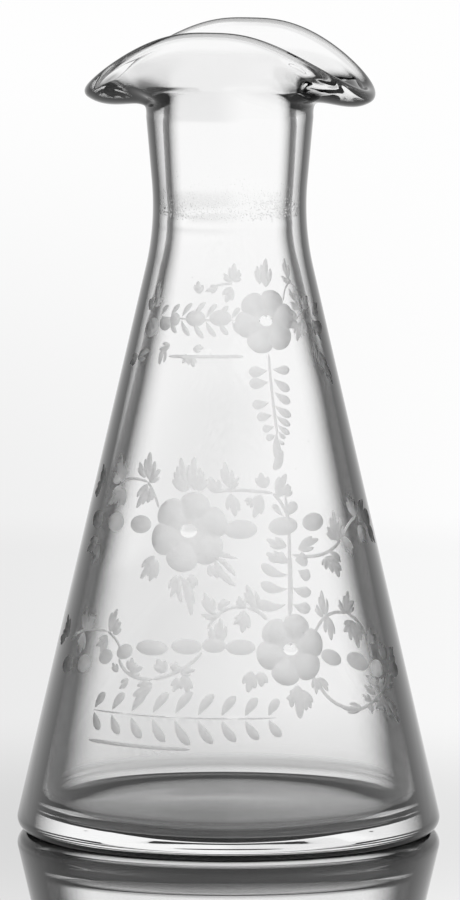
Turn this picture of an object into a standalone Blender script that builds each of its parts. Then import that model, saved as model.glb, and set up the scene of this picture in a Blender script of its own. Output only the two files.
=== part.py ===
"""Clear glass salad dressing bottle: a cone body on a thick foot, a short neck with a ground seat for a
stopper, and a mouth folded into a saddle, high in front and behind and low at two pouring lips.

Metres, +Z up. The origin is the centre of the foot's flat underside, and the pouring lips lie along X.
"""

import math

import bmesh
import bpy

# Driving dimensions
BASE_RADIUS = 0.0421
HEEL_RADIUS = 0.0026
REST_INNER_RADIUS = 0.0265
KICK_HEIGHT = 0.0009

THROAT_RADIUS = 0.01467
THROAT_HEIGHT = 0.1210
THROAT_BLEND = 0.0087

NECK_TOP_RADIUS = 0.01657
NECK_TOP_HEIGHT = 0.1425

SEAT_MOUTH_RADIUS = 0.01335
SEAT_LENGTH = 0.0200
SEAT_TAPER = 0.055
SEAT_STEP = 0.0007
HOLLOW_BLEND = 0.0095

BODY_WALL = 0.0028
FOOT_WALL = 0.0048
FOOT_WALL_RISE = 0.0300
FLOOR_THICKNESS = 0.0046
FLOOR_FILLET = 0.0042
FLOOR_DOME = 0.0007

LIP_REACH = 0.0290
LIP_RISE = 0.0059
RIM_RADIUS = 0.0203
RIM_RISE = 0.0175
LIP_WALL = 0.0028
LIP_EDGE = 0.0014
RIM_EDGE = 0.0012

BEND_REACH_AT_LIP = 0.0037
BEND_RISE_AT_LIP = 0.0038
BEND_REACH_AT_WALL = 0.0012
BEND_RISE_AT_WALL = 0.0051
LIP_DIP = 0.0032
WALL_BULGE = 0.0042
LIP_END_SLOPE = math.radians(35)
WALL_END_SLOPE = math.radians(100)
FOLD_SHARPNESS = 1.8

# Steps along and round the surface
SEGMENTS = 64
ARC_STEPS = 4
BLEND_STEPS = 5
SIDE_STEPS = 3
BEND_STEPS = 4
WALL_STEPS = 6
EDGE_STEPS = 5


def mix(a, b, share):
    return a + (b - a) * share


def bezier(points, t):
    """Point of a Bezier curve with any number of control points, by halving pairs down to one."""
    while len(points) > 1:
        points = [
            (mix(p[0], q[0], t), mix(p[1], q[1], t)) for p, q in zip(points, points[1:])
        ]
    return points[0]


def bezier_run(points, steps):
    """Points along a Bezier curve, without its first one."""
    return [bezier(points, i / steps) for i in range(1, steps + 1)]


def arc(centre, radius, start, end, steps):
    """Points of an arc about a centre, with both ends."""
    angles = [mix(start, end, i / steps) for i in range(steps + 1)]
    return [
        (centre[0] + radius * math.cos(a), centre[1] + radius * math.sin(a)) for a in angles
    ]


def side_lean():
    """Angle by which the cone's side leans in from the vertical, from the heel to the throat."""
    return math.atan2(BASE_RADIUS - THROAT_RADIUS, THROAT_HEIGHT - HEEL_RADIUS)


def neck_flare():
    """Angle by which the neck opens out above the throat."""
    return math.atan2(NECK_TOP_RADIUS - THROAT_RADIUS, NECK_TOP_HEIGHT - THROAT_HEIGHT)


def throat_blend(radius, height, lower_lean):
    """Control points of the hollow curve that joins the cone's side to the neck."""
    below = (
        radius + THROAT_BLEND * math.sin(lower_lean),
        height - THROAT_BLEND * math.cos(lower_lean),
    )
    above = (
        radius + THROAT_BLEND * math.sin(neck_flare()),
        height + THROAT_BLEND * math.cos(neck_flare()),
    )
    return below, (radius, height), above


def outer_profile():
    """Outside of the glass from the middle of the foot up to the neck's top, as (radius, height)."""
    lean = side_lean()
    heel_centre = (BASE_RADIUS - HEEL_RADIUS, HEEL_RADIUS)
    points = [(REST_INNER_RADIUS * 0.5, KICK_HEIGHT * 0.8), (REST_INNER_RADIUS, 0.0)]
    points += arc(heel_centre, HEEL_RADIUS, -math.pi / 2, lean, ARC_STEPS)
    below, throat, above = throat_blend(THROAT_RADIUS, THROAT_HEIGHT, lean)
    points += bezier_run([points[-1], below], SIDE_STEPS)
    points += bezier_run([below, throat, above], BLEND_STEPS)
    return points


def seat_radius(height):
    """Radius of the ground seat, which narrows downwards."""
    return SEAT_MOUTH_RADIUS - SEAT_TAPER * (NECK_TOP_HEIGHT - height)


def outer_radius(height):
    """Radius of the cone's outer side at a height."""
    return BASE_RADIUS - (height - HEEL_RADIUS) * math.tan(side_lean())


def inner_profile():
    """Inside of the glass from the seat's lower end down to the middle of the floor, as (radius, height)."""
    seat_foot = NECK_TOP_HEIGHT - SEAT_LENGTH
    seat_end = (seat_radius(seat_foot), seat_foot)
    hollow_top = (seat_end[0] + SEAT_STEP, seat_foot - SEAT_STEP)
    shoulder = hollow_top[1] - HOLLOW_BLEND
    thick = FOOT_WALL_RISE + FLOOR_THICKNESS
    high = (outer_radius(shoulder) - BODY_WALL, shoulder)
    low = (outer_radius(thick) - BODY_WALL, thick)
    fillet_top = FLOOR_THICKNESS + FLOOR_FILLET
    corner_radius = outer_radius(fillet_top) - FOOT_WALL
    corner = (corner_radius, fillet_top)
    thickening = (low[0] + (thick - fillet_top) / 2 * math.tan(side_lean()), (thick + fillet_top) / 2)
    centre = (corner_radius - FLOOR_FILLET, fillet_top)
    points = [seat_end, hollow_top]
    points += bezier_run([hollow_top, (hollow_top[0], mix(hollow_top[1], shoulder, 0.45)), high], BLEND_STEPS)
    points += bezier_run([high, low], SIDE_STEPS)
    points += bezier_run([low, thickening, corner], ARC_STEPS)
    points += arc(centre, FLOOR_FILLET, 0.0, -math.pi / 2, ARC_STEPS)[1:]
    points.append((centre[0] * 0.5, FLOOR_THICKNESS + FLOOR_DOME * 0.7))
    return points


def fold_curves(turn):
    """Two Bezier curves along the middle of the lip's wall at this turn about the axis: the bend above the
    neck, and the wall from there to the rim. Each control point lies between its place at a pouring lip
    and its place in the high wall. The reach follows the square of the cosine of the turn, and the height
    follows it more sharply, so the folds are narrow and the walls stand up between them."""
    reach_share = math.cos(turn) ** 2
    height_share = reach_share**FOLD_SHARPNESS
    middle = (NECK_TOP_RADIUS + SEAT_MOUTH_RADIUS) / 2

    def blend(at_lip, at_wall):
        return (
            mix(at_wall[0], at_lip[0], reach_share),
            NECK_TOP_HEIGHT + mix(at_wall[1], at_lip[1], height_share),
        )

    def before(end, slope, length):
        return (end[0] - length * math.cos(slope), end[1] - length * math.sin(slope))

    lip_bend = (middle + BEND_REACH_AT_LIP, BEND_RISE_AT_LIP)
    wall_bend = (middle + BEND_REACH_AT_WALL, BEND_RISE_AT_WALL)
    lip_end = (LIP_REACH - LIP_EDGE, LIP_RISE - LIP_EDGE)
    wall_end = (RIM_RADIUS - RIM_EDGE, RIM_RISE - RIM_EDGE)
    start = (middle, NECK_TOP_HEIGHT)
    bend_in = blend((middle, BEND_RISE_AT_LIP * 0.8), (middle, BEND_RISE_AT_WALL * 0.5))
    bend_over = blend(
        (middle + BEND_REACH_AT_LIP * 0.35, BEND_RISE_AT_LIP),
        (middle + BEND_REACH_AT_WALL * 0.3, BEND_RISE_AT_WALL * 0.75),
    )
    bend_end = blend(lip_bend, wall_bend)
    leave = blend(
        (lip_bend[0] + LIP_DIP, lip_bend[1]),
        (wall_bend[0] + WALL_BULGE * 0.4, wall_bend[1] + WALL_BULGE * 0.9),
    )
    arrive = blend(
        before(lip_end, LIP_END_SLOPE, LIP_DIP),
        before(wall_end, WALL_END_SLOPE, WALL_BULGE),
    )
    end = blend(lip_end, wall_end)
    return [start, bend_in, bend_over, bend_end], [bend_end, leave, arrive, end]


def lip_section(turn):
    """Outside and inside of the lip at this turn, from the neck's top over the rounded rim and back to the
    seat, as (radius, height): the middle line set off by half the wall on each side, and a half round."""
    bend, wall = fold_curves(turn)
    middle = [bend[0]] + bezier_run(bend, BEND_STEPS) + bezier_run(wall, WALL_STEPS)
    edge = mix(RIM_EDGE, LIP_EDGE, math.cos(turn) ** 2)
    neck_half = (NECK_TOP_RADIUS - SEAT_MOUTH_RADIUS) / 2
    halves = [mix(neck_half, LIP_WALL / 2, i / BEND_STEPS) for i in range(BEND_STEPS)]
    halves += [mix(LIP_WALL / 2, edge, i / WALL_STEPS) for i in range(WALL_STEPS + 1)]
    outside, inside = [], []
    for i, (point, half) in enumerate(zip(middle, halves)):
        before = middle[max(i - 1, 0)]
        after = middle[min(i + 1, len(middle) - 1)]
        heading = math.atan2(after[1] - before[1], after[0] - before[0]) if i else math.pi / 2
        out = (half * math.sin(heading), -half * math.cos(heading))
        outside.append((point[0] + out[0], point[1] + out[1]))
        inside.append((point[0] - out[0], point[1] - out[1]))
    rim = arc(middle[-1], edge, heading - math.pi / 2, heading + math.pi / 2, EDGE_STEPS)
    return outside[:-1] + rim + inside[-2::-1]


def section(turn):
    """The closed outline of the glass at this turn, from under the foot round to the floor inside."""
    return outer_profile() + lip_section(turn) + inner_profile()


def glass_material():
    """Clear soda-lime glass, blown, with a very slight grey cast."""
    material = bpy.data.materials.new("clear_glass")
    material.use_nodes = True
    shader = material.node_tree.nodes["Principled BSDF"]
    shader.inputs["Base Color"].default_value = (0.93, 0.94, 0.94, 1.0)
    shader.inputs["Metallic"].default_value = 0.0
    shader.inputs["Roughness"].default_value = 0.02
    shader.inputs["IOR"].default_value = 1.5
    shader.inputs["Transmission Weight"].default_value = 1.0
    return material


def glass_bottle():
    """The bottle, as rings of points joined by faces, closed by one point under the foot and one on the
    floor inside."""
    shape = bmesh.new()
    sections = [section(2 * math.pi * i / SEGMENTS) for i in range(SEGMENTS)]
    columns = []
    for i, points in enumerate(sections):
        turn = 2 * math.pi * i / SEGMENTS
        columns.append(
            [shape.verts.new((r * math.cos(turn), r * math.sin(turn), z)) for r, z in points]
        )
    foot = shape.verts.new((0.0, 0.0, KICK_HEIGHT))
    floor = shape.verts.new((0.0, 0.0, FLOOR_THICKNESS + FLOOR_DOME))
    for i, column in enumerate(columns):
        after = columns[(i + 1) % SEGMENTS]
        shape.faces.new((foot, after[0], column[0]))
        for k in range(len(column) - 1):
            shape.faces.new((column[k], after[k], after[k + 1], column[k + 1]))
        shape.faces.new((floor, column[-1], after[-1]))
    mesh = bpy.data.meshes.new("glass_bottle")
    shape.to_mesh(mesh)
    shape.free()
    mesh.shade_smooth()
    mesh.materials.append(glass_material())
    bottle = bpy.data.objects.new("glass_bottle", mesh)
    bpy.context.scene.collection.objects.link(bottle)
    return bottle


def main():
    for item in list(bpy.data.objects):
        bpy.data.objects.remove(item, do_unlink=True)
    glass_bottle()


main()
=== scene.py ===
"""A blown, wheel-engraved glass bottle for salad dressing, on a glossy pale table in even light.

Metres, +Z up. The origin is the centre of the foot, and the pouring lips lie along X.
"""

import math

import bmesh
import bpy
import numpy as np
from mathutils import Matrix, Vector
from mathutils.geometry import delaunay_2d_cdt

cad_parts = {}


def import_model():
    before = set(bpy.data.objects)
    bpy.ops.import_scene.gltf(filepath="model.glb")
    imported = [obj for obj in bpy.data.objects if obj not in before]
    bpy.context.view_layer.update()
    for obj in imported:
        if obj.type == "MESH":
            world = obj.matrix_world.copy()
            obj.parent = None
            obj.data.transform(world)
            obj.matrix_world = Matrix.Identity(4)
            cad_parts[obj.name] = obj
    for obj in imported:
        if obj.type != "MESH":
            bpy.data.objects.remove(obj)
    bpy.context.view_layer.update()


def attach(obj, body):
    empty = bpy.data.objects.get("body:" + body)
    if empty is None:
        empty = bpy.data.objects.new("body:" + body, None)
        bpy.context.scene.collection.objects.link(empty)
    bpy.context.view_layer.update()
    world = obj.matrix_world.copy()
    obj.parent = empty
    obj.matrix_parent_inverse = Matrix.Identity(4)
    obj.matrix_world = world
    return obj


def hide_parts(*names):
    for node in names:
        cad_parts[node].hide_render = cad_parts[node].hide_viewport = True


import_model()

MM = 0.001

# The glass: the sizes of its drawing, some of them a little off those of the CAD solid
BASE_RADIUS = 0.0421
HEEL_RADIUS = 0.0026
KICK_HEIGHT = 0.0014
THROAT_RADIUS = 0.01467
THROAT_HEIGHT = 0.1210
THROAT_BLEND = 0.0087
NECK_TOP_RADIUS = 0.01657
NECK_TOP_HEIGHT = 0.1425
SEAT_MOUTH_RADIUS = 0.01335
SEAT_LENGTH = 0.0190
SEAT_TAPER = 0.055
SEAT_STEP = 0.00015
HOLLOW_BLEND = 0.0095
BODY_WALL = 0.0028
FOOT_WALL = 0.0042
FOOT_WALL_RISE = 0.0300
FLOOR_THICKNESS = 0.0028
FLOOR_FILLET = 0.0049
FLOOR_DOME = 0.0007
LIP_REACH = 0.0290
LIP_RISE = 0.0059
RIM_RADIUS = 0.0203
RIM_RISE = 0.0181
LIP_WALL = 0.0022
LIP_EDGE = 0.0014
RIM_EDGE = 0.0014
BEND_REACH_AT_LIP = 0.0037
BEND_RISE_AT_LIP = 0.0038
BEND_REACH_AT_WALL = 0.0005
BEND_RISE_AT_WALL = 0.0064
LIP_DIP = 0.0032
WALL_BULGE = 0.0042
LIP_END_SLOPE = math.radians(35)
WALL_END_SLOPE = math.radians(100)
FOLD_SHARPNESS = 1.5

# Where the hand-made glass departs from its drawing
LIP_TILT = 0.025
# Creases that the tool left in the lip: degrees about the axis at the bend and at the rim, shares of the
# way from one to the other where a crease starts and ends, half width in degrees and depth in millimetres
CREASES = [(211, 211, 0.15, 1.0, 10, 0.9), (-24, -46, 0.35, 1.0, 7, 0.9)]
# Thick glass left at the two pouring tips: degrees about the axis, half width in degrees and millimetres
TIPS = [(-3, 20, 2.8), (182, 16, 2.2)]
# The inner wall: height of its slow waves, and how much thinner it is, in millimetres: height, the part
# that turns from more to less round the axis, and the part that is the same all round
WALL_WAVE = 0.06 * MM
WALL_DRIFT = [
    (26, 0.0, 0.0), (50, -0.20, 0.20), (66, 0.15, 0.30),
    (88, 0.45, 0.45), (108, 0.1, 0.15), (118, 0.0, 0.0),
]
SEAT_STEP_RISE = 2.0 * MM
# Radius of the hollow under the foot, and of the low dome on the floor inside
PONTIL_RADIUS = 0.0225
DOME_RADIUS = 0.0200
# Heights between which the stopper seat is ground
SEAT_GROUND = (0.1216, 0.1345)
# Points closer than this become one
WELD = 1e-6

# Steps round and along the glass, and the points of the hollow under the foot, which come first
COLUMNS = 256
RING_STEP = 1.3 * MM
HOLLOW_POINTS = 12

# The wheel engraving: degrees run round from the middle of the picture's side, to the right, and every
# other number is in millimetres
FRONT = math.radians(11.7 - 90)
ENGRAVED_FROM = 14
ENGRAVED_TO = 119
# Depths of the cuts
LEAF_DEPTH = 0.22
PETAL_DEPTH = 0.9
BEAD_DEPTH = 0.4
STEM_DEPTH = 0.12
PIT_DEPTH = 0.1
BOSS_DEPTH = 0.12
DISC_DEPTH = 0.3
# A flower, as shares of its radius: where a petal starts, its half width, the clear raised boss in the
# middle as half length and half width, and the frosted disc round it
PETAL_START = 0.24
PETAL_HALF = 0.40
BOSS_SIZE = (0.22, 0.17)
DISC_SIZE = 0.6
# How much wider the cuts are than their lists say
LEAF_FULLNESS = 1.12
LEAFLET_FULLNESS = 1.25
STEM_FULLNESS = 1.7
# The fingers of a leaf: half widths of the middle and side ones as shares of the leaf's, how far the two
# side ones reach along it, and how far they spread in half widths
FINGER_HALF = (0.62, 0.46)
FINGER_REACH = (0.78, 0.66)
FINGER_SPREAD = 0.95
PIT_SIZE = 0.1
# Finishes, the first three in the order of the materials, and two kinds of cut that end as one of them
CLEAR, FROSTED, GROUND, BOSS, DISC = 0, 1, 2, 3, 4

# Flowers: degrees, height, radius and turn of the first petal
FLOWERS = [(23, 103.8, 6.5, 8), (-16.5, 63.4, 8.0, 20), (21.5, 40.6, 7.2, 12)]

# Beads of the chains: degrees, height, half length, half width and tilt
BEADS = [
    (-53, 101.8, 2.2, 1.9, 30), (-42, 102.8, 1.5, 1.4, 0), (-35, 103.8, 1.2, 1.35, 0),
    (-21, 104.2, 2.1, 1.6, 0), (-5.5, 104.4, 2.2, 1.6, 0), (66, 101.5, 1.8, 1.3, 0),
    (-53, 63.8, 2.6, 1.9, 0), (-38.5, 64, 2.6, 1.8, 0), (4.5, 63.8, 3.4, 1.9, 0), (22.5, 64.2, 3.1, 1.8, 4),
    (36.5, 64.6, 2.6, 1.8, 6), (-68, 63.5, 2.6, 1.8, 0), (76, 63.5, 2.6, 1.8, 0), (-56, 36, 2.4, 1.8, 12),
    (-45.5, 38, 1.9, 1.5, 15), (-37.5, 39.4, 2.0, 1.5, 20), (-27, 40.6, 3.5, 1.5, 0),
    (-14.5, 41.2, 3.1, 1.55, 0), (-5, 41.6, 2.4, 1.5, 0), (4, 41.2, 2.9, 1.55, 0),
    (36.5, 38.4, 2.5, 1.55, -22), (48, 37, 3.2, 1.75, -20), (57.5, 35, 2.2, 1.8, -10),
    (-67, 35, 2.4, 1.7, 10), (69, 34, 2.4, 1.7, -10),
]

# Leaves: degrees and height of the foot, degrees and height of the tip, half width, and bow to the left
LEAVES = [
    # sprays over the upper chain
    (24.5, 110.2, 26.5, 115.8, 0.95), (20.5, 110.8, 19.5, 114.4, 0.55), (43.5, 111.6, 42, 115.6, 0.6),
    (45, 110.6, 37.5, 112.2, 0.5), (46.5, 107.2, 42.5, 109.6, 0.45), (51, 107.8, 46.5, 109.8, 0.45),
    (3, 111.4, 3.5, 115, 0.85), (2, 111.4, -4, 113, 0.6), (3, 111.4, 8, 113, 0.6),
    (1, 110.4, -2.5, 107.4, 0.9), (-7.5, 110.4, -14.5, 109.6, 0.6), (-19.5, 109, -21.5, 111.4, 0.8),
    (-53.5, 107.2, -52.5, 110.8, 0.6), (-55.5, 106.2, -47.5, 107.4, 0.7), (-59, 105, -57.5, 107.6, 0.8),
    (49, 105.6, 42, 107, 0.75), (45.5, 104.2, 37.5, 105, 0.7), (45, 103.2, 37, 102.4, 0.6),
    (46, 103, 42.5, 99.4, 0.75), (50.5, 103.6, 48, 100.2, 0.9), (52.5, 105.4, 59.5, 107.8, 0.8),
    (60, 103, 66, 99, 0.9), (62, 104, 72, 106, 0.9),
    # sprays under the upper chain
    (-36, 98.8, -43.5, 97.8, 0.7, 0.2), (-39, 98, -41.5, 94.8, 0.75, -0.2),
    (-24.5, 97.2, -26.5, 95.4, 0.55), (-23, 97, -19.5, 94.8, 0.7), (-21, 98.2, -14.5, 98.6, 0.6),
    (-61.5, 95.4, -51, 97.2, 0.85, 0.25), (-62, 96, -70, 94, 0.8), (60, 97, 66, 92, 0.9),
    (62, 95, 70, 90, 0.8), (58, 99, 55, 94.5, 0.6),
    # sprays over the middle chain
    (-18, 71, -22.5, 77.4, 1.05), (-15, 71.2, -16, 77.6, 1.1), (-19, 70.8, -25, 74.6, 1.0),
    (-13, 71, -11.5, 74.8, 1.0), (-53, 71.4, -59, 76.8, 1.2), (-55.5, 71.2, -62, 73.2, 0.9),
    (-37, 72.6, -39, 78, 1.1), (-39.5, 73, -44.5, 75.8, 0.8), (-37, 72.2, -32, 74.8, 0.9),
    (-53.5, 70.8, -60, 66.8, 1.0), (-51, 70.4, -53.5, 66.6, 1.2), (-38, 71.8, -42, 67, 0.95),
    (-36, 71, -36.5, 68.2, 0.9), (0.5, 71.6, -2, 76.8, 0.9), (-4.5, 70.8, -8.5, 73.8, 1.05),
    (0.5, 71.6, 4.5, 73.8, 0.55), (0.5, 70.6, 2.5, 66.2, 1.0), (15.5, 71.6, 14, 74.6, 1.1),
    (13.5, 70.4, 10, 66, 1.05), (9, 69.8, 7.5, 68.4, 0.65), (21, 69.8, 26, 74.2, 1.1),
    (24.5, 70, 27.5, 71.8, 0.85), (-70, 70, -76, 74, 1.2), (-72, 70, -80, 68, 1.1),
    # sprays right of and under the middle chain
    (23, 60.2, 15, 61.8, 0.85), (21, 57.6, 14.5, 59.2, 0.85), (28, 59.6, 38, 61.2, 0.95),
    (48, 60.2, 48.5, 66.4, 1.1), (49.5, 60.4, 52, 64.8, 0.85), (47, 60.6, 43.5, 63.4, 0.9),
    (51.5, 61.2, 56, 57, 1.0), (48, 57.2, 39.5, 57.4, 0.95), (45.5, 57.2, 41, 55.4, 0.75),
    (64, 64.2, 60.5, 69, 1.3), (66, 63.2, 76, 67, 1.3), (64, 62.4, 70, 58.8, 1.3), (74, 62, 82, 58, 1.2),
    (43.5, 57.2, 45.5, 53.4, 1.1), (40, 57.4, 39.5, 55.2, 0.75), (42.5, 57.6, 48, 56.4, 0.65),
    (-30, 58.2, -35, 53.6, 1.0), (-28.5, 57.4, -31, 53.2, 0.9), (-20, 54.8, -21.5, 50.4, 0.8),
    (-18.5, 54.8, -13.5, 47.2, 1.05, 0.12), (-14, 55, -13.5, 52.2, 0.9), (-8, 56.8, -4, 54.4, 0.75),
    (-5.5, 58.4, 2.5, 53, 1.0, -0.2), (-9.5, 59, 3.5, 58.2, 0.5), (-64, 60, -72, 57, 1.1),
    (-62, 59, -64, 55, 1.0),
    # sprays over the lower chain
    (-59, 42.2, -61.5, 46.6, 1.2), (-58.5, 42.6, -54.5, 45.4, 0.95), (-60, 41.8, -60, 37.6, 1.1),
    (-45.5, 42.8, -43.5, 47.4, 1.0), (-43.5, 42.4, -41, 45, 0.9), (-46, 42, -51.5, 39.6, 0.7),
    (-46.5, 41.8, -48.5, 38.6, 0.9), (-2.5, 42.2, -3, 46.8, 0.9), (-4.5, 42.2, -6.5, 45.2, 0.65),
    (-5.5, 47.6, -9, 51.6, 0.9), (-4, 48.6, 0.5, 50, 0.8), (-3, 47.2, -10, 47.4, 0.6),
    (10.5, 48.2, 6.5, 53.2, 0.95), (5.5, 48.6, 3.5, 51, 0.75), (5.5, 48.2, 4.5, 44, 1.05),
    (5, 47.4, 1.5, 45.6, 0.6), (36.5, 46.4, 36, 51.4, 0.8), (35, 46.2, 33, 48.8, 0.6),
    (37, 46.4, 37.5, 41.6, 0.95), (46.5, 46.2, 49, 50.6, 1.0), (46, 46.4, 43.5, 49.2, 0.65),
    (47, 46.4, 51.5, 48.6, 0.65), (48, 45, 49.5, 39.4, 1.3), (48, 44.8, 43.5, 43, 0.9),
    (49.5, 44.2, 53, 41.8, 0.95), (56.5, 39.8, 58, 43, 0.8), (56, 40, 54.5, 42, 0.5),
    (57.5, 39.8, 60.5, 41.6, 0.5), (65, 36.2, 62, 39.8, 1.1), (68, 35.4, 72.5, 38, 1.2),
    (-72, 40, -78, 44, 1.2), (-74, 40, -82, 39, 1.1),
    # sprays under the lower chain
    (-34, 35.8, -34, 38.4, 0.95), (-34, 35, -29.5, 36.8, 0.8), (-34.5, 34.4, -37.5, 32.2, 0.6),
    (-21.5, 36, -24.5, 38.6, 1.1), (-25.5, 33.8, -32, 31.2, 1.1), (-17, 35.2, -18, 32.4, 0.65),
    (-15, 35.8, -13, 32, 0.95), (-16, 36, -11, 36.8, 0.6), (-18, 36.2, -17.5, 38.2, 0.85),
    (-39, 35.4, -42, 37, 0.6), (7.5, 36.6, 6, 32.6, 1.1), (10.5, 36.4, 10.5, 33.6, 1.05),
    (22.5, 33.6, 22.5, 27.2, 1.4), (23.5, 32.2, 18.5, 31.2, 0.9), (24.5, 32.6, 26.5, 29, 0.85),
    (29, 35, 29, 31.6, 0.6), (30.5, 34.8, 33.5, 32, 0.7), (56, 31.8, 50.5, 34.2, 0.6),
    (54, 30.2, 49, 32.4, 0.6), (51.5, 29, 47.5, 30.6, 0.55), (57.5, 30, 59.5, 25.2, 0.9),
    (59.5, 29, 64.5, 23.8, 0.95), (50.5, 28.8, 50.5, 26.6, 0.6), (46.5, 28, 38, 28.6, 0.75),
    (57, 30.6, 60.5, 33, 0.9), (61, 31, 67, 33, 1.0), (57, 29.2, 52.5, 27.4, 0.7),
]

# Leaflets of the two ferns, given as the leaves are
LEAFLETS = [
    # the hanging fern
    (21, 94.2, 10.5, 94.2, 0.9), (21, 92, 10.5, 92, 0.95), (20.5, 88, 11.5, 87.8, 0.8),
    (21.5, 85.6, 13.5, 85.4, 0.75), (22, 83.4, 16, 83, 0.65), (22.5, 81.8, 17.5, 81.2, 0.55),
    (24, 94.4, 34.5, 94.2, 0.75), (24, 92.6, 33, 90.2, 0.75), (24, 90, 32.5, 87.8, 0.7),
    (23.5, 87.4, 32, 85.2, 0.7), (23.5, 85.6, 31, 83.4, 0.55), (24, 83.8, 30, 81.8, 0.5),
    (24, 82.4, 27.5, 81, 0.4), (24, 80.8, 26.5, 79.8, 0.35), (23.4, 82.5, 23.5, 76.5, 0.75),
    # the standing fern
    (20, 67.8, 18.5, 68.4, 0.35), (23, 66, 19, 68.6, 0.5), (25, 66.2, 28.5, 68.8, 0.9),
    (23, 54.8, 12.5, 57.2, 0.85, 0.25), (22, 52.2, 12, 53.6, 0.9, 0.25), (21, 49.2, 9.5, 50.0, 0.9, 0.25),
    (24, 52.4, 31.5, 51.4, 0.9, -0.25), (23.5, 49.2, 30.5, 48.4, 0.95, -0.25), (27, 55.6, 32, 54.2, 1.0),
    (26, 57.6, 31.5, 57.8, 1.2), (24, 57.2, 18.5, 58.8, 0.95),
]

# Stems: degrees and height of the start, the bend and the end, and half width
STEMS = [
    (-16, 109.4, -8, 111.2, 2, 111, 0.14), (36.5, 107.4, 38, 110.2, 45.5, 111.2, 0.12),
    (45, 110.8, 52.5, 108.4, 52.5, 105.4, 0.12), (52.5, 105.4, 47, 104, 43, 103.6, 0.12),
    (22.5, 97.4, 22, 89.2, 23.5, 81.8, 0.16), (23.6, 79, 23.6, 75.4, 20, 76.0, 0.55),
    (-52, 72, -45.5, 73, -38, 72.2, 0.16), (-38, 72.2, -34, 70.8, -30.5, 67.4, 0.16),
    (-54, 71.4, -54.5, 70.2, -62, 66.4, 0.16), (-5.5, 71, 4, 71.8, 19, 70.6, 0.2),
    (19, 70.6, 24, 68.2, 25, 65.4, 0.2), (25, 58.6, 39, 56.8, 49.5, 60.4, 0.2),
    (50.5, 60.8, 56.5, 63.8, 64, 64.4, 0.2), (24.5, 70, 25.5, 63.2, 23.5, 57, 0.2),
    (24, 58.6, 23.5, 52.8, 22, 47, 0.28), (-68.5, 39.6, -62, 43.2, -46.5, 42.8, 0.16),
    (-46.5, 42.8, -41.5, 41.8, -39.5, 39.8, 0.16), (-7.5, 44.6, -3, 49.8, 6.5, 48.8, 0.2),
    (6.5, 48.8, 10.5, 48.4, 13.5, 46.4, 0.22), (31, 43.2, 36, 48.2, 46.5, 46.4, 0.2),
    (46.5, 46.4, 56, 44.2, 55.5, 37, 0.2), (-39.5, 38, -36, 34, -25.5, 34.6, 0.2),
    (-25.5, 34.6, -15, 35.8, -9, 40.2, 0.2), (30, 34.8, 31.5, 29.2, 44, 27.8, 0.2),
    (44, 27.8, 55, 28.4, 64, 33, 0.2),
    # two plain ruled strokes
    (-36, 96.6, -13.5, 97, 8, 97, 0.2), (-47, 21.8, -28, 21.6, -11.5, 21.6, 0.22),
]

# Two twigs of paired leaves: first and last degrees, height, number of pairs, leaf length and half width
TWIGS = [(-47, 4, 104.0, 7, 4.4, 0.55), (-47, 15, 27.6, 9, 6.4, 0.95)]

# Small pits: degrees and height
PITS = [(-29, 23), (28, 70.8), (31, 75), (-26, 112), (12, 72), (2, 92), (40, 80), (-10, 83)]

# The camera of the picture, in its frame of 460 by 900 pixels
CAMERA_AZIMUTH = math.radians(11.7)
CAMERA_ELEVATION = math.radians(9.3)
CAMERA_DISTANCE = 2.0
CAMERA_ROLL = math.radians(0.106)
FRAME_WIDTH = 460
FRAME_HEIGHT = 900
FOCAL_PIXELS = 10020
FOOT_PIXEL = (229.2, 828)
SENSOR = 36.0

# The ceiling that glass and gloss find above the pale backdrop: from no ceiling to full, in degrees up
CEILING_RISE = (40, 50)
CEILING_GREY = 0.05
# Soda-lime glass, and the painted shade it is given where it is seen edge on: from none of it to all, as
# facing
GLASS_COLOUR = "#FDFDFD"
GLASS_IOR = 1.5
EDGE_PAINTED_SHADE = "#000000"
EDGE_PAINTED_SHADE_FACING = (0.3, 0.6)
# Size of the grains that the wheel and the grinding leave
GRAIN = 0.35 * MM
# The table: the gap that keeps it clear of the foot, the radii over which it passes into the backdrop, its
# matt colour, and the strength, blur and colours near and far of the mirror image on it. The near colour is
# darker: painted shade round the foot, faded out between two radii.
TABLE_RADIUS = 1.0
TABLE_CORNERS = 96
TABLE_GAP = 0.00005
TABLE_EDGE = (0.41, 0.49)
TABLE_MATT = "#CFCFCF"
TABLE_GLOSS = 0.98
TABLE_GLOSS_FACING = (0.4, 0.8)
TABLE_BLUR = 0.015
TABLE_MIRROR_WITH_PAINTED_SHADE = ("#E9E9E9", "#FBFBFB")
TABLE_PAINTED_SHADE = (0.04, 0.16)
# The backdrop is a little greyer low down on the left of the picture, in degrees
BACKDROP_COLOUR = "#FEFEFE"
BACKDROP_GREY = 0.14
BACKDROP_LEFT = (-2.2, 2.2)
BACKDROP_LOW = (4.8, 7.8)


def linear(colour):
    """sRGB hex colour as linear RGBA."""
    values = [int(colour[i : i + 2], 16) / 255 for i in (1, 3, 5)]
    return tuple(v / 12.92 if v <= 0.04045 else ((v + 0.055) / 1.055) ** 2.4 for v in values) + (1.0,)


def mix(a, b, share):
    """A straight mix of two values."""
    return a + (b - a) * share


def smooth(x):
    """Smooth step from 0 to 1 as x goes from 0 to 1."""
    x = np.clip(x, 0.0, 1.0)
    return x * x * (3 - 2 * x)


def bezier(points, steps, first=True):
    """Points along a Bezier curve by halving pairs of its control points down to one. A control point is
    an array whose last axis is (radius, height), and the steps become a new axis before it."""
    t = np.linspace(0, 1, steps + 1)[0 if first else 1 :, None]
    points = [np.asarray(p, float)[..., None, :] for p in points]
    while len(points) > 1:
        points = [mix(p, q, t) for p, q in zip(points, points[1:])]
    return points[0]


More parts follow.
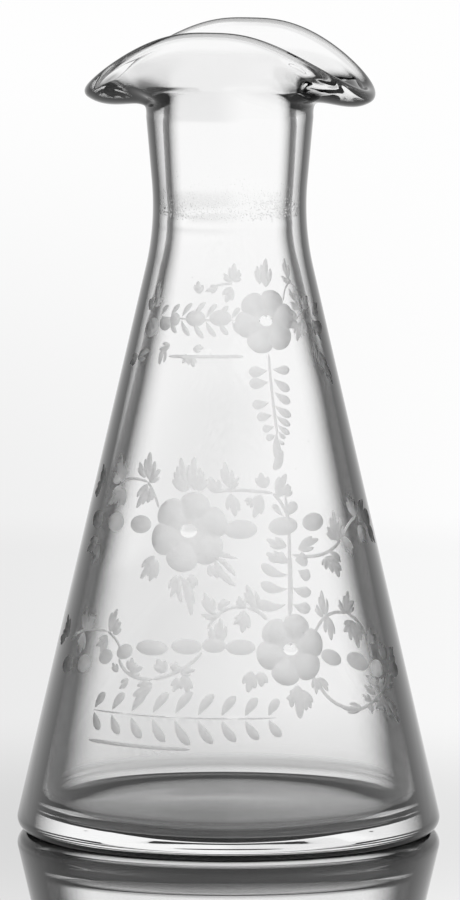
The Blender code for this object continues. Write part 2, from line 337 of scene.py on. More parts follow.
def arc(centre, radius, start, end, steps):
    """Points of an arc about a centre, both ends included."""
    angle = np.linspace(start, end, steps + 1)
    return np.stack([centre[0] + radius * np.cos(angle), centre[1] + radius * np.sin(angle)], -1)


side_lean = math.atan2(BASE_RADIUS - THROAT_RADIUS, THROAT_HEIGHT - HEEL_RADIUS)
neck_flare = math.atan2(NECK_TOP_RADIUS - THROAT_RADIUS, NECK_TOP_HEIGHT - THROAT_HEIGHT)


def foot_profile():
    """Underside from the middle outwards, a shallow dome whose height falls with the square of the radius,
    then the flat rest ring and the heel's arc, as (radius, height)."""
    r = np.linspace(0.06, 1, HOLLOW_POINTS) * PONTIL_RADIUS
    dome = np.stack([r, KICK_HEIGHT * (1 - (r / PONTIL_RADIUS) ** 2) ** 2], -1)
    rest = np.stack([np.linspace(PONTIL_RADIUS, BASE_RADIUS - HEEL_RADIUS, 5)[1:-1], np.zeros(3)], -1)
    heel = arc((BASE_RADIUS - HEEL_RADIUS, HEEL_RADIUS), HEEL_RADIUS, -math.pi / 2, side_lean, 12)
    return np.concatenate([dome, rest, heel])


def side_profile():
    """Outside from the heel up the cone's straight side and through the hollow curve of the throat."""
    heel_end = foot_profile()[-1]
    throat = np.array([THROAT_RADIUS, THROAT_HEIGHT])
    below = throat + THROAT_BLEND * np.array([math.sin(side_lean), -math.cos(side_lean)])
    above = throat + THROAT_BLEND * np.array([math.sin(neck_flare), math.cos(neck_flare)])
    side = bezier([heel_end, below], round(float(np.linalg.norm(below - heel_end)) / RING_STEP))
    blend = bezier([below, throat, above], 20, first=False)
    top = bezier([above, (NECK_TOP_RADIUS, NECK_TOP_HEIGHT)], 12, first=False)
    return np.concatenate([side, blend, top])


def fold_curves(turn):
    """Control points of the two Bezier curves along the middle of the lip's wall at each turn about the
    axis: the bend above the neck, and the wall from there to the rim. The reach is a mix of the high wall's
    and the pouring lip's by the square of the turn's cosine, and the height by a power of that square."""
    reach_share = np.cos(turn) ** 2
    height_share = reach_share**FOLD_SHARPNESS
    middle = (NECK_TOP_RADIUS + SEAT_MOUTH_RADIUS) / 2

    def blend(at_lip, at_wall):
        reach = mix(at_wall[0], at_lip[0], reach_share)
        return np.stack([reach, NECK_TOP_HEIGHT + mix(at_wall[1], at_lip[1], height_share)], -1)

    def before(end, slope, length):
        return (end[0] - length * math.cos(slope), end[1] - length * math.sin(slope))

    lip_bend = (middle + BEND_REACH_AT_LIP, BEND_RISE_AT_LIP)
    wall_bend = (middle + BEND_REACH_AT_WALL, BEND_RISE_AT_WALL)
    lip_end = (LIP_REACH - LIP_EDGE, LIP_RISE - LIP_EDGE)
    wall_end = (RIM_RADIUS - RIM_EDGE, RIM_RISE - RIM_EDGE)
    start = blend((middle, 0.0), (middle, 0.0))
    bend_in = blend((middle, BEND_RISE_AT_LIP * 0.8), (middle, BEND_RISE_AT_WALL * 0.5))
    bend_over = blend(
        (middle + BEND_REACH_AT_LIP * 0.35, BEND_RISE_AT_LIP),
        (middle + BEND_REACH_AT_WALL * 0.3, BEND_RISE_AT_WALL * 0.75),
    )
    bend_end = blend(lip_bend, wall_bend)
    leave = blend(
        (lip_bend[0] + LIP_DIP, lip_bend[1]),
        (wall_bend[0] + WALL_BULGE * 0.4, wall_bend[1] + WALL_BULGE * 0.9),
    )
    arrive = blend(
        before(lip_end, LIP_END_SLOPE, LIP_DIP),
        before(wall_end, WALL_END_SLOPE, WALL_BULGE),
    )
    end = blend(lip_end, wall_end)
    return [start, bend_in, bend_over, bend_end], [bend_end, leave, arrive, end]


def wrapped(angle):
    """An angle brought to within half a turn of nought."""
    return (angle + math.pi) % (2 * math.pi) - math.pi


def creases(turn, along):
    """How deep the outside of the lip is pressed in: a bell curve across each crease, faded at its ends."""
    sunk = np.zeros((len(turn), len(along)))
    for at_bend, at_rim, start, end, width, depth in CREASES:
        away = wrapped(turn[:, None] - np.radians(mix(at_bend, at_rim, along)))
        fade = smooth((along - start) / 0.15) * smooth((end - along) / 0.1)
        sunk += depth * MM * np.exp(-((away / math.radians(width)) ** 2)) * fade
    return sunk


def tip_glass(turn, along):
    """How much thicker the lip is toward its two pouring tips: bell curves, faded at the bend and rim."""
    swell = np.zeros(len(turn))
    for at, width, thick in TIPS:
        swell += thick * MM * np.exp(-((wrapped(turn - math.radians(at)) / math.radians(width)) ** 2))
    return swell[:, None] * smooth((along - 0.35) / 0.3) * smooth((1 - along) / 0.12)


def lip_sections(turn):
    """Outside and inside of the lip at each turn: the middle line set off square to itself by half the
    wall on each side, and joined over the rim by a half round. The middle line is tilted a little to one
    side, most at its bend and not at all at the neck and the rim, as the tool left it."""
    bend_steps, wall_steps, edge_steps = 14, 22, 12
    bend, wall = fold_curves(turn)
    middle = np.concatenate([bezier(bend, bend_steps), bezier(wall, wall_steps, first=False)], 1)
    along = np.linspace(0, 1, middle.shape[1])
    tilt = LIP_TILT * np.sin(math.pi * along**0.8) ** 2
    middle[..., 1] += tilt * middle[..., 0] * np.cos(turn)[:, None]

    edge = mix(RIM_EDGE, LIP_EDGE, np.cos(turn) ** 2)[:, None]
    neck_half = (NECK_TOP_RADIUS - SEAT_MOUTH_RADIUS) / 2
    thinning = np.linspace(neck_half, LIP_WALL / 2, bend_steps + 1)[:-1]
    closing = mix(LIP_WALL / 2, edge, np.linspace(0, 1, wall_steps + 1))
    half = np.concatenate([np.broadcast_to(thinning, (len(turn), bend_steps)), closing], 1)

    step = np.gradient(middle, axis=1)
    heading = np.arctan2(step[..., 1], step[..., 0])
    heading[:, 0] = math.pi / 2
    out = half[..., None] * np.stack([np.sin(heading), -np.cos(heading)], -1)
    round_angle = heading[:, -1:] + np.linspace(-math.pi / 2, math.pi / 2, edge_steps + 1)
    rim = middle[:, -1:] + edge[..., None] * np.stack([np.cos(round_angle), np.sin(round_angle)], -1)
    outside = middle + out * (1 - creases(turn, along) / half)[..., None]
    inside = middle - out * (1 + tip_glass(turn, along) / half)[..., None]
    return np.concatenate([outside[:, 1:-1], rim, inside[:, -2::-1]], 1)


def inner_profile():
    """Inside from the seat's lower end, over the small step under it, down the hollow and round the
    fillet to the middle of the floor."""
    seat_foot = NECK_TOP_HEIGHT - SEAT_LENGTH
    tan = math.tan(side_lean)

    def cone(height):
        return BASE_RADIUS - (height - HEEL_RADIUS) * tan

    def seat(height):
        return SEAT_MOUTH_RADIUS - SEAT_TAPER * (NECK_TOP_HEIGHT - height)

    seat_height = np.linspace(NECK_TOP_HEIGHT, seat_foot, 10)[1:]
    seat_wall = np.stack([seat(seat_height), seat_height], -1)
    hollow_top = np.array([seat(seat_foot) + SEAT_STEP, seat_foot - SEAT_STEP_RISE])
    shoulder = seat_foot - SEAT_STEP - HOLLOW_BLEND
    thick = FOOT_WALL_RISE + FLOOR_THICKNESS
    high = np.array([cone(shoulder) - BODY_WALL, shoulder])
    low = np.array([cone(thick) - BODY_WALL, thick])
    fillet_top = FLOOR_THICKNESS + FLOOR_FILLET
    corner = np.array([cone(fillet_top) - FOOT_WALL, fillet_top])
    thickening = np.array([low[0] + (thick - fillet_top) / 2 * tan, (thick + fillet_top) / 2])
    centre = (corner[0] - FLOOR_FILLET, fillet_top)
    step_bend = (seat_wall[-1, 0], mix(seat_foot, hollow_top[1], 0.5))
    step = bezier([seat_wall[-1], step_bend, hollow_top], 6, False)
    swell = bezier([hollow_top, (hollow_top[0], mix(hollow_top[1], shoulder, 0.45)), high], 12, False)
    wall = bezier([high, low], 26, False)
    foot_wall = bezier([low, thickening, corner], 10, False)
    fillet = arc(centre, FLOOR_FILLET, 0.0, -math.pi / 2, 14)[1:]
    r = np.linspace(1, 0.03, 20)[1:] * centre[0]
    floor = np.stack([r, FLOOR_THICKNESS + FLOOR_DOME * np.clip(1 - (r / DOME_RADIUS) ** 2, 0, 1) ** 2], -1)
    return np.concatenate([seat_wall, step, swell, wall, foot_wall, fillet, floor])


def wavy(turn, profile):
    """An inner profile at each turn, as blown glass has it: slow waves, two sines round the axis whose
    phase drifts with height, and a wall that is thinner on one side at some heights."""
    r, z = profile[None, :, 0], profile[None, :, 1]
    angle = turn[:, None]
    wave = np.sin(2 * angle + 31 * z + 0.7) + 0.6 * np.sin(3 * angle - 47 * z + 2.1)
    fade = smooth((0.122 - z) / 0.02) * smooth((z - 0.004) / 0.02)
    height, aside, thinner = np.array(WALL_DRIFT).T * MM
    drift = np.interp(z, height, aside) * np.cos(angle - CAMERA_AZIMUTH) + np.interp(z, height, thinner)
    radius = r + WALL_WAVE * wave * fade + drift
    return np.stack([radius, np.broadcast_to(z, radius.shape)], -1)


class FlatMap:
    """The engraved part of the outside laid flat without bending angles: turn across, and up the path
    length along the side divided by the radius, so that a small circle on the glass stays a circle."""

    def __init__(self, profile):
        self.radius, self.height = profile.T
        length = np.hypot(np.diff(self.radius), np.diff(self.height))
        middle = (self.radius[1:] + self.radius[:-1]) / 2
        self.up = np.concatenate([[0.0], np.cumsum(length / middle)])
        slope = np.gradient(profile, axis=0)
        self.out = np.stack([slope[:, 1], -slope[:, 0]], -1) / np.hypot(*slope.T)[:, None]

    def place(self, degrees, height):
        """Flat place of degrees from the front and a height in millimetres."""
        return np.array([FRONT + math.radians(degrees), np.interp(height * MM, self.height, self.up)])

    def scale(self, height):
        """Flat length of one millimetre at a height."""
        return MM / np.interp(height * MM, self.height, self.radius)

    def points(self, flat, depth):
        """Points in space at flat places, sunk square to the surface."""
        sunk = depth * MM
        radius, height, out_r, out_z = (
            np.interp(flat[:, 1], self.up, values) for values in (self.radius, self.height, *self.out.T)
        )
        radius = radius - sunk * out_r
        turn = flat[:, 0]
        return np.stack([radius * np.cos(turn), radius * np.sin(turn), height - sunk * out_z], -1)


def cut_shape(kind, t):
    """Half width along a cut as a share of its widest: a power of a sine for leaves and petals, widest
    beyond the middle, an ellipse for beads, and an even line with short ends for stems."""
    if kind == "leaf":
        return np.sin(math.pi * t**1.45) ** 0.55
    if kind == "leaflet":
        return np.sin(math.pi * t**1.9) ** 0.6 * 0.9 + 0.1 * np.sin(math.pi * t) ** 0.5
    if kind == "finger":
        return np.sin(math.pi * t**1.25) ** 0.5
    if kind == "petal":
        return np.sin(math.pi * t**1.35) ** 0.5
    if kind == "stem":
        return np.clip(np.minimum(t, 1 - t) * 14, 0, 1) ** 0.5
    return np.sqrt(np.clip(1 - (2 * t - 1) ** 2, 0, 1))


def cut(kind, start, end, half, depth, finish=FROSTED, bow=0.0, bend=None, steps=9):
    """One stroke of the wheel on the flat map: a spine from start to end through a bend, its half width
    and its depth."""
    if bend is None:
        along = end - start
        bend = (start + end) / 2 + bow * np.array([-along[1], along[0]])
    t = (1 - np.cos(np.linspace(0, math.pi, steps + 1))) / 2
    t = t[:, None]
    spine = mix(mix(start, bend, t), mix(bend, end, t), t)
    return spine, np.clip(cut_shape(kind, t[:, 0]), 0, 1) * half, depth, finish


def outline(spine, half):
    """Closed line round a cut: its spine set off to both sides."""
    along = np.gradient(spine, axis=0)
    across = np.stack([-along[:, 1], along[:, 0]], -1) / np.hypot(*along.T)[:, None]
    left, right = spine + across * half[:, None], spine - across * half[:, None]
    return np.concatenate([left, right[-2:0:-1]])


def flower_cuts(flat, degrees, height, radius, turn):
    """Six round petals about a raised clear centre."""
    middle, scale = flat.place(degrees, height), flat.scale(height)
    cuts = []
    for k in range(6):
        angle = math.radians(turn + 60 * k)
        aim = np.array([math.cos(angle), math.sin(angle)]) * radius * scale
        foot = middle + aim * PETAL_START
        cuts.append(cut("petal", foot, middle + aim, radius * PETAL_HALF * scale, PETAL_DEPTH, steps=13))
    side = np.array([radius * DISC_SIZE * scale, 0])
    cuts.append(cut("bead", middle - side, middle + side, side[0], DISC_DEPTH, DISC, steps=16))
    side = np.array([radius * BOSS_SIZE[0] * scale, 0])
    half = radius * BOSS_SIZE[1] * scale
    cuts.append(cut("bead", middle - side, middle + side, half, BOSS_DEPTH, BOSS, steps=10))
    return cuts


def leaf_cuts(flat, degrees, height, tip_degrees, tip_height, half, bow=0.06):
    """A leaf of three strokes from one foot: a long finger in the middle and a shorter one bent out on
    each side."""
    start, end = flat.place(degrees, height), flat.place(tip_degrees, tip_height)
    half = half * LEAF_FULLNESS * flat.scale(height)
    along = end - start
    side = np.array([-along[1], along[0]]) / math.hypot(*along) * half
    cuts = [cut("finger", start, end, half * FINGER_HALF[0], LEAF_DEPTH, bow=bow, steps=8)]
    for way, reach in ((1, FINGER_REACH[0]), (-1, FINGER_REACH[1])):
        tip = start + along * reach + way * side * FINGER_SPREAD
        depth = LEAF_DEPTH * 0.9
        cuts.append(cut("finger", start, tip, half * FINGER_HALF[1], depth, bow=0.16 * way, steps=7))
    return cuts


def twig_cuts(flat, first, last, height, pairs, length, half):
    """A straight stem with pairs of slender leaves that lean toward its tip."""
    scale = flat.scale(height)
    start, end = flat.place(first, height), flat.place(last, height)
    cuts = [cut("stem", start, end, 0.16 * scale, STEM_DEPTH, steps=24)]
    for k, degrees in enumerate(np.linspace(first, last - 3, pairs)):
        foot = flat.place(degrees, height)
        size = length * scale * (1 - 0.3 * abs(2 * k / (pairs - 1) - 1))
        for side in (1, -1):
            aim = np.array([math.cos(0.95), side * math.sin(0.95)]) * size
            start, end = foot + aim * 0.12, foot + aim
            cuts.append(cut("leaf", start, end, half * scale, LEAF_DEPTH, bow=0.12 * side))
    return cuts


def all_cuts(flat):
    """Every cut of the engraving, the later ones over the earlier."""
    cuts = []
    for degrees, height, length, half, tilt in BEADS:
        middle, scale = flat.place(degrees, height), flat.scale(height)
        side = np.array([math.cos(math.radians(tilt)), math.sin(math.radians(tilt))]) * length * scale
        cuts.append(cut("bead", middle - side, middle + side, half * scale, BEAD_DEPTH, steps=12))
    for leaf in LEAVES:
        cuts.extend(leaf_cuts(flat, *leaf))
    for leaf in LEAFLETS:
        start, end = flat.place(*leaf[:2]), flat.place(*leaf[2:4])
        bow = leaf[5] if len(leaf) > 5 else 0.12 * (1 if leaf[2] < leaf[0] else -1)
        half = leaf[4] * LEAFLET_FULLNESS * flat.scale(leaf[1])
        cuts.append(cut("leaflet", start, end, half, LEAF_DEPTH, bow=bow, steps=10))
    for stem in STEMS:
        start, bend, end = (flat.place(*stem[k : k + 2]) for k in (0, 2, 4))
        half = stem[6] * STEM_FULLNESS * flat.scale(stem[1])
        cuts.append(cut("stem", start, end, half, STEM_DEPTH, bend=bend, steps=14))
    for flower in FLOWERS:
        cuts.extend(flower_cuts(flat, *flower))
    for twig in TWIGS:
        cuts.extend(twig_cuts(flat, *twig))
    for degrees, height in PITS:
        middle, side = flat.place(degrees, height), np.array([PIT_SIZE * flat.scale(height), 0])
        cuts.append(cut("bead", middle - side, middle + side, side[0], PIT_DEPTH, steps=8))
    return cuts


def cut_at(places, cuts):
    """Depth and finish at flat places: in each cut the depth falls from the spine to the edge with the
    square of the distance and is less where the cut is narrow, and the deepest cut counts. A boss is left
    standing instead: there the depth rises from its middle to its edge with the square of the distance,
    and the glass stays clear."""
    depth, finish = np.zeros(len(places)), np.full(len(places), CLEAR)
    for spine, half, deepest, kind in cuts:
        reach = half.max()
        inside = (places > spine.min(0) - reach) & (places < spine.max(0) + reach)
        near = np.flatnonzero(inside.all(1))
        fine = np.linspace(0, len(spine) - 1, 6 * len(spine))
        line = np.stack([np.interp(fine, np.arange(len(spine)), c) for c in spine.T], -1)
        width = np.interp(fine, np.arange(len(spine)), half)
        gap = places[near, None] - line[None]
        away = np.hypot(gap[..., 0], gap[..., 1])
        closest = away.argmin(1)
        share = away.min(1) / np.maximum(width[closest], 1e-9)
        if kind == BOSS:
            within = share < 1.03
            depth[near[within]] = deepest * share[within] ** 2
            finish[near[within]] = CLEAR
            continue
        here = deepest * width[closest] / reach * np.clip(1 - share**2, 0, 1)
        deeper = here > depth[near]
        depth[near[deeper]] = here[deeper]
        finish[near[deeper]] = FROSTED if kind == DISC else kind
    return depth, finish


def engraved_side(profile):
    """The engraved part of the outside: the grid of its rings and columns with the outlines and spines of
    all cuts let into it, joined into triangles on the flat map, and sunk where a cut is."""
    flat = FlatMap(profile)
    cuts = all_cuts(flat)
    seam = round((FRONT + math.pi) / (2 * math.pi) * COLUMNS)
    turn = (np.arange(COLUMNS + 1) + seam - COLUMNS) * 2 * math.pi / COLUMNS
    across, up = (g.ravel() for g in np.meshgrid(turn, flat.up, indexing="ij"))
    grid = np.stack([across, up], -1)
    rim = (across == turn[0]) | (across == turn[-1]) | (up == flat.up[0]) | (up == flat.up[-1])

    points, edges = [], []
    for spine, half, _, kind in cuts:
        line = outline(spine, half)
        count = sum(len(p) for p in points)
        index = count + np.arange(len(line))
        edges.append(np.stack([index, np.roll(index, -1)], -1))
        points.extend([line] if kind == DISC else [line, spine[1:-1]])
        if kind == BOSS:
            middle = spine.mean(0)
            points.extend([middle + (line - middle) * 0.4, middle + (line - middle) * 0.75])
        reach = half.max() * 1.4
        near = np.flatnonzero(((grid > spine.min(0) - reach) & (grid < spine.max(0) + reach)).all(1) & ~rim)
        if len(near):
            gap = grid[near, None] - np.concatenate([line, spine])[None]
            close = np.hypot(gap[..., 0], gap[..., 1]).min(1) < 0.35 * MM / profile[:, 0].mean()
            keep = np.ones(len(grid), bool)
            keep[near[close]] = False
            grid, rim = grid[keep], rim[keep]
    points = np.concatenate([*points, grid])
    edges = np.concatenate(edges)
    placed, _, faces, _, _, _ = delaunay_2d_cdt(points.tolist(), edges.tolist(), [], 0, 1e-7, False)
    places = np.array([tuple(p) for p in placed])
    faces = np.array(faces)
    depth, _ = cut_at(places, cuts)
    _, finish = cut_at(places[faces].mean(1), cuts)
    return flat.points(places, depth), faces, finish


def glass_mesh(name):
    """The whole surface of the glass on a grid of turn and section: foot, side, lip and inside, closed by
    a point at each pole."""
    turn = np.arange(COLUMNS) * 2 * math.pi / COLUMNS
    outside = np.concatenate([foot_profile(), side_profile()[1:]])
    fixed = np.broadcast_to(outside, (COLUMNS, *outside.shape))
    section = np.concatenate([fixed, lip_sections(turn), wavy(turn, inner_profile())], 1)
    rings = section.shape[1]
    x = section[..., 0] * np.cos(turn)[:, None]
    y = section[..., 0] * np.sin(turn)[:, None]
    points = np.stack([x, y, section[..., 1]], -1).reshape(-1, 3)
    poles = [(0, 0, KICK_HEIGHT), (0, 0, FLOOR_THICKNESS + FLOOR_DOME)]
    points = np.concatenate([points, poles])

    ends = np.array([ENGRAVED_FROM, ENGRAVED_TO]) * MM
    first, last = np.searchsorted(outside[HOLLOW_POINTS:, 1], ends) + HOLLOW_POINTS
    side, triangles, finish = engraved_side(outside[first : last + 1])
    column = np.arange(COLUMNS)[:, None] * rings
    after = np.roll(column, -1, 0)
    ring = np.array([k for k in range(rings - 1) if not first <= k < last])[None, :]
    quads = np.stack([column + ring, after + ring, after + ring + 1, column + ring + 1], -1)
    height = section[0, ring[0], 1]
    inner = ring[0] > rings - len(inner_profile()) - 2
    ground = inner & (height > SEAT_GROUND[0]) & (height <= SEAT_GROUND[1])
    material = np.broadcast_to(np.where(ground, GROUND, CLEAR), quads.shape[:2]).ravel()
    foot = np.stack([np.full(COLUMNS, len(points) - 2), after[:, 0], column[:, 0]], -1)
    inmost, next_inmost = column[:, 0] + rings - 1, after[:, 0] + rings - 1
    floor = np.stack([np.full(COLUMNS, len(points) - 1), inmost, next_inmost], -1)
    triangles = triangles + len(points)
    mesh = bpy.data.meshes.new(name)
    faces = [quads.reshape(-1, 4), foot, floor, triangles]
    corners = np.concatenate([points, side]).tolist()
    mesh.from_pydata(corners, [], [f for part in faces for f in part.tolist()])
    material = np.concatenate([material, np.full(2 * COLUMNS, CLEAR), finish])
    mesh.polygons.foreach_set("material_index", material.astype(np.int32))

    work = bmesh.new()
    work.from_mesh(mesh)
    bmesh.ops.delete(work, geom=[v for v in work.verts if not v.link_faces], context="VERTS")
    bmesh.ops.remove_doubles(work, verts=work.verts, dist=WELD)
    work.to_mesh(mesh)
    work.free()
    mesh.shade_smooth()
    mark_finish_edges(mesh)
    return mesh


def mark_finish_edges(mesh):
    """The edges of the frosted cuts are sharp."""
    edge = np.empty(len(mesh.loops), np.int32)
    mesh.loops.foreach_get("edge_index", edge)
    finish, corners = np.empty((2, len(mesh.polygons)), np.int32)
    mesh.polygons.foreach_get("material_index", finish)
    mesh.polygons.foreach_get("loop_total", corners)
    of_loop = np.repeat(finish == FROSTED, corners).astype(int)
    lowest, highest = np.full(len(mesh.edges), 99), np.full(len(mesh.edges), -1)
    np.minimum.at(lowest, edge, of_loop)
    np.maximum.at(highest, edge, of_loop)
    mesh.edges.foreach_set("use_edge_sharp", lowest != highest)


def add_node(tree, kind, settings=None, links=None):
    """A node with its settings and the sockets that its inputs are linked to."""
    node = tree.nodes.new(kind)
    for name, value in (settings or {}).items():
        if isinstance(name, int) or name in node.inputs.keys():
            node.inputs[name].default_value = value
        else:
            setattr(node, name, value)
    for name, socket in (links or {}).items():
        tree.links.new(socket, node.inputs[name])
    return node


def fade(zero, one):
    """Settings of a Map Range node that goes smoothly from 0 at one bound to 1 at the other."""
    low, high = sorted((zero, one))
    ends = {"To Min": float(zero > one), "To Max": float(one > zero)}
    return {"interpolation_type": "SMOOTHSTEP", "From Min": low, "From Max": high, **ends}


def glass_material(name):
    """Soda-lime glass before its finish: a material, its nodes and its shader. It bends light sharply and
    takes almost no colour."""
    material = bpy.data.materials.new(name)
    material.use_nodes = True
    shader = material.node_tree.nodes["Principled BSDF"]
    shader.inputs["Base Color"].default_value = linear(GLASS_COLOUR)
    shader.inputs["IOR"].default_value = GLASS_IOR
    shader.inputs["Transmission Weight"].default_value = 1.0
    return material, material.node_tree, shader


def painted_edge_shade(tree, shader):
    """Painted shade: glass gets darker where its surface is seen edge on, standing in for the dark
    surroundings that the edges of its walls show. A little of it is the light that is lost on the long way
    through the edge of a wall, but it is stronger than in real clear glass."""
    facing = add_node(tree, "ShaderNodeLayerWeight", {"Blend": 0.5}).outputs["Facing"]
    share = add_node(tree, "ShaderNodeMapRange", fade(*EDGE_PAINTED_SHADE_FACING), {"Value": facing}).outputs[0]
    # painted shade: the glass colour goes to black as the surface turns edge on
    colours = {6: linear(GLASS_COLOUR), 7: linear(EDGE_PAINTED_SHADE)}
    edge_shade = add_node(tree, "ShaderNodeMix", {"data_type": "RGBA", **colours}, {0: share})
    tree.links.new(edge_shade.outputs[2], shader.inputs["Base Color"])


def clear_glass():
    """Glass that was blown and fire-polished, so that it is smooth and clear."""
    material, tree, shader = glass_material("clear_blown_glass")
    shader.inputs["Roughness"].default_value = 0.0
    # painted shade where the glass is seen edge on
    painted_edge_shade(tree, shader)
    return material


def frosted_glass():
    """Glass cut by a stone wheel and left unpolished: a fine even matt that scatters the light behind it,
    with the faint strokes of the wheel."""
    material, tree, shader = glass_material("wheel_cut_frosted_glass")
    place = add_node(tree, "ShaderNodeTexCoord").outputs["Object"]
    noise = add_node(tree, "ShaderNodeTexNoise", {"Scale": 1 / GRAIN, "Detail": 3}, {"Vector": place})
    grit = noise.outputs["Fac"]
    matt = {"From Min": 0.35, "From Max": 0.65, "To Min": 0.62, "To Max": 0.88}
    rough = add_node(tree, "ShaderNodeMapRange", matt, {"Value": grit})
    tree.links.new(rough.outputs[0], shader.inputs["Roughness"])
    bump = add_node(tree, "ShaderNodeBump", {"Strength": 0.5, "Distance": 0.06 * MM}, {"Height": grit})
    tree.links.new(bump.outputs[0], shader.inputs["Normal"])
    return material


def ground_seat_glass():
    """The stopper seat, ground with grit and worn clear again: speckles of matt that are dense at the
    seat's lower end and thin out upwards. A speckle stands where the grit is over what its height needs."""
    material, tree, shader = glass_material("ground_stopper_seat_glass")
    # painted shade where the glass is seen edge on
    painted_edge_shade(tree, shader)
    place = add_node(tree, "ShaderNodeTexCoord").outputs["Object"]
    height = add_node(tree, "ShaderNodeSeparateXYZ", {}, {0: place}).outputs["Z"]
    noise = add_node(tree, "ShaderNodeTexNoise", {"Scale": 1 / GRAIN, "Detail": 3}, {"Vector": place})
    upwards = {"From Min": 123.6 * MM, "From Max": 131.5 * MM, "To Min": 0.54, "To Max": 0.72}
    above = add_node(tree, "ShaderNodeMapRange", upwards, {"Value": height}).outputs[0]
    at_foot = {"From Min": 121.8 * MM, "From Max": 123.8 * MM, "To Min": 0.78, "To Max": 0.5}
    below = add_node(tree, "ShaderNodeMapRange", at_foot, {"Value": height}).outputs[0]
    needed = add_node(tree, "ShaderNodeMath", {"operation": "MAXIMUM"}, {0: above, 1: below}).outputs[0]
    links = {0: noise.outputs["Fac"], 1: needed}
    over = add_node(tree, "ShaderNodeMath", {"operation": "SUBTRACT"}, links).outputs[0]
    matt = {"From Min": 0.0, "From Max": 0.04, "To Min": 0.0, "To Max": 0.55}
    speckle = add_node(tree, "ShaderNodeMapRange", matt, {"Value": over}).outputs[0]
    tree.links.new(speckle, shader.inputs["Roughness"])
    bump = add_node(tree, "ShaderNodeBump", {"Strength": 0.6, "Distance": 0.04 * MM}, {"Height": speckle})
    tree.links.new(bump.outputs[0], shader.inputs["Normal"])
    return material


def world():
    """Pale backdrop all the way round, which the camera, the glass and the gloss see alike. It is a little
    greyer low down on the left of the picture. Glass and gloss find a darker ceiling high above it, and
    what is left lights evenly from all round."""
    background = bpy.data.worlds.new("studio")
    background.use_nodes = True
    tree = background.node_tree
    tree.nodes.clear()
    math_kind, range_kind = "ShaderNodeMath", "ShaderNodeMapRange"
    bounds = (np.radians(ends).tolist() for ends in (CEILING_RISE, BACKDROP_LEFT, BACKDROP_LOW))
    overhead, aside, low = (fade(*ends) for ends in bounds)
    place = add_node(tree, "ShaderNodeTexCoord").outputs["Generated"]
    direction = add_node(tree, "ShaderNodeVectorMath", {"operation": "NORMALIZE"}, {0: place}).outputs[0]
    up = add_node(tree, "ShaderNodeSeparateXYZ", {}, {0: direction}).outputs["Z"]
    rise = add_node(tree, math_kind, {"operation": "ARCSINE"}, {0: up}).outputs[0]

    path = add_node(tree, "ShaderNodeLightPath")
    kinds = {0: path.outputs["Is Transmission Ray"], 1: path.outputs["Is Glossy Ray"]}
    bent = add_node(tree, math_kind, {"operation": "MAXIMUM"}, kinds).outputs[0]
    ceiling = add_node(tree, range_kind, overhead, {"Value": rise}).outputs[0]
    less = {"operation": "MULTIPLY", 1: 1 - CEILING_GREY}
    dimmed = add_node(tree, math_kind, less, {0: ceiling}).outputs[0]
    dark = add_node(tree, math_kind, {"operation": "MULTIPLY"}, {0: dimmed, 1: bent}).outputs[0]
    light = add_node(tree, math_kind, {"operation": "SUBTRACT", 0: 1.0}, {1: dark}).outputs[0]

    # how far a direction lies to the left of the picture's middle, and how far along it
    sine, cosine = math.sin(CAMERA_AZIMUTH), math.cos(CAMERA_AZIMUTH)
    sides = []
    for axis in ((-cosine, -sine, 0), (-sine, cosine, 0)):
        dot = add_node(tree, "ShaderNodeVectorMath", {"operation": "DOT_PRODUCT", 1: axis}, {0: direction})
        sides.append(dot.outputs["Value"])
    angle = add_node(tree, math_kind, {"operation": "ARCTAN2"}, {0: sides[0], 1: sides[1]}).outputs[0]
    leftness = add_node(tree, range_kind, aside, {"Value": angle}).outputs[0]
    level = add_node(tree, math_kind, {"operation": "ABSOLUTE"}, {0: rise}).outputs[0]
    lowness = add_node(tree, range_kind, low, {"Value": level}).outputs[0]
    corner = add_node(tree, math_kind, {"operation": "MULTIPLY"}, {0: leftness, 1: lowness}).outputs[0]
    grey = add_node(tree, math_kind, {"operation": "MULTIPLY", 1: BACKDROP_GREY}, {0: corner}).outputs[0]
    pale = add_node(tree, math_kind, {"operation": "SUBTRACT", 0: 1.0}, {1: grey}).outputs[0]
    strength = add_node(tree, math_kind, {"operation": "MULTIPLY"}, {0: light, 1: pale}).outputs[0]
    colour = {"Color": linear(BACKDROP_COLOUR)}
    shade = add_node(tree, "ShaderNodeBackground", colour, {"Strength": strength})
    add_node(tree, "ShaderNodeOutputWorld", {}, {"Surface": shade.outputs[0]})
    bpy.context.scene.world = background


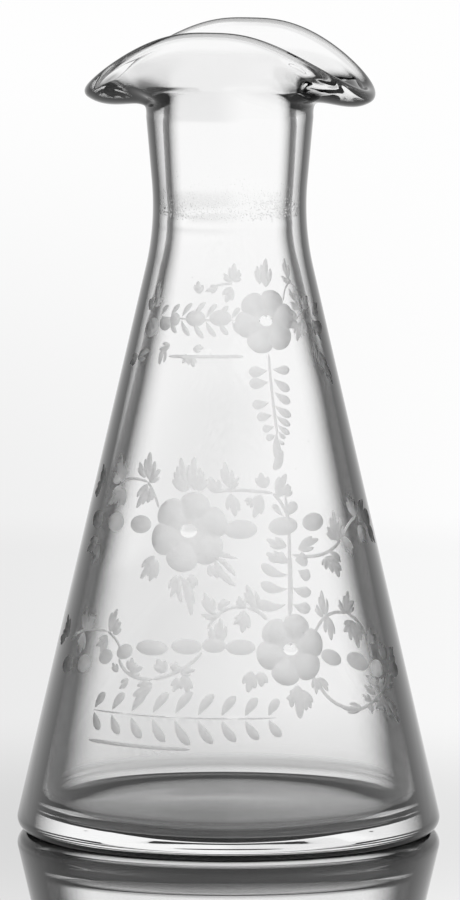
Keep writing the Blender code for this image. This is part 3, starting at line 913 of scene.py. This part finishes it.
def table_material():
    """Pale table under a sheet of glass: matt below, and a mirror image on top that grows stronger as the
    view gets flatter. The mirror image is darker near the foot, a painted shade round it. Past its far edge
    the backdrop goes on. Every ray finds the same table."""
    material = bpy.data.materials.new("pale_table")
    material.use_nodes = True
    tree = material.node_tree
    tree.nodes.clear()
    range_kind = "ShaderNodeMapRange"
    place = add_node(tree, "ShaderNodeTexCoord").outputs["Object"]
    radius = add_node(tree, "ShaderNodeVectorMath", {"operation": "LENGTH"}, {0: place}).outputs["Value"]
    facing = add_node(tree, "ShaderNodeLayerWeight", {"Blend": 0.5}).outputs["Facing"]
    flat = add_node(tree, range_kind, fade(*TABLE_GLOSS_FACING), {"Value": facing}).outputs[0]
    gloss = add_node(tree, "ShaderNodeMath", {"operation": "MULTIPLY", 1: TABLE_GLOSS}, {0: flat}).outputs[0]
    matt = add_node(tree, "ShaderNodeBsdfDiffuse", {"Color": linear(TABLE_MATT)})
    # painted shade: the mirror image is darker near the foot and clears further out
    far = add_node(tree, range_kind, fade(*TABLE_PAINTED_SHADE), {"Value": radius}).outputs[0]
    colours = {6: linear(TABLE_MIRROR_WITH_PAINTED_SHADE[0]), 7: linear(TABLE_MIRROR_WITH_PAINTED_SHADE[1])}
    painted_shade_mirror = add_node(tree, "ShaderNodeMix", {"data_type": "RGBA", **colours}, {0: far})
    blur = {"Roughness": TABLE_BLUR}
    mirror = add_node(tree, "ShaderNodeBsdfAnisotropic", blur, {"Color": painted_shade_mirror.outputs[2]})
    top = add_node(tree, "ShaderNodeMixShader", {}, {0: gloss, 1: matt.outputs[0], 2: mirror.outputs[0]})
    beyond = add_node(tree, range_kind, fade(*TABLE_EDGE), {"Value": radius}).outputs[0]
    clear = add_node(tree, "ShaderNodeBsdfTransparent")
    ends = add_node(tree, "ShaderNodeMixShader", {}, {0: beyond, 1: top.outputs[0], 2: clear.outputs[0]})
    add_node(tree, "ShaderNodeOutputMaterial", {}, {"Surface": ends.outputs[0]})
    return material


def table():
    """A round table top, flat at the height of the foot."""
    turn = np.linspace(0, 2 * math.pi, TABLE_CORNERS + 1)[:-1]
    points = np.stack([np.cos(turn), np.sin(turn), np.zeros(TABLE_CORNERS)], -1) * TABLE_RADIUS
    points[:, 2] = -TABLE_GAP
    mesh = bpy.data.meshes.new("table_top")
    mesh.from_pydata(points.tolist(), [], [list(range(TABLE_CORNERS))])
    mesh.materials.append(table_material())
    top = bpy.data.objects.new("table_top", mesh)
    bpy.context.scene.collection.objects.link(top)


def camera():
    """The picture's camera: its place round the foot's centre, and its aim from where the foot lies in the
    frame."""
    data = bpy.data.cameras.new("camera")
    data.sensor_width = SENSOR
    data.lens = FOCAL_PIXELS * SENSOR / FRAME_HEIGHT
    data.clip_start = 0.05
    data.clip_end = 50
    cam = bpy.data.objects.new("camera", data)
    a, e = CAMERA_AZIMUTH, CAMERA_ELEVATION
    back = Vector((math.sin(a) * math.cos(e), -math.cos(a) * math.cos(e), math.sin(e)))
    cam.location = back * CAMERA_DISTANCE
    up = math.atan((FOOT_PIXEL[1] - FRAME_HEIGHT / 2) / FOCAL_PIXELS)
    left = math.atan((FOOT_PIXEL[0] - FRAME_WIDTH / 2) / FOCAL_PIXELS)
    look = (-back).to_track_quat("-Z", "Y").to_matrix().to_4x4()
    turn = Matrix.Rotation(up, 4, "X") @ Matrix.Rotation(left, 4, "Y")
    roll = Matrix.Rotation(CAMERA_ROLL, 4, "Z")
    cam.matrix_world = Matrix.Translation(cam.location) @ look @ turn @ roll
    bpy.context.scene.collection.objects.link(cam)
    bpy.context.scene.camera = cam


def bottle():
    """The glass as the visible piece, in place of the plain solid."""
    mesh = glass_mesh("engraved_glass")
    for material in (clear_glass(), frosted_glass(), ground_seat_glass()):
        mesh.materials.append(material)
    piece = bpy.data.objects.new("engraved_glass", mesh)
    bpy.context.scene.collection.objects.link(piece)
    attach(piece, "root")
    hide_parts("glass_bottle")
    return piece


scene = bpy.context.scene
scene.view_settings.view_transform = "Standard"
# Light crosses many walls of glass on its way
scene.cycles.max_bounces = 24
scene.cycles.transmission_bounces = 24
scene.cycles.glossy_bounces = 3
bottle()
table()
world()
camera()
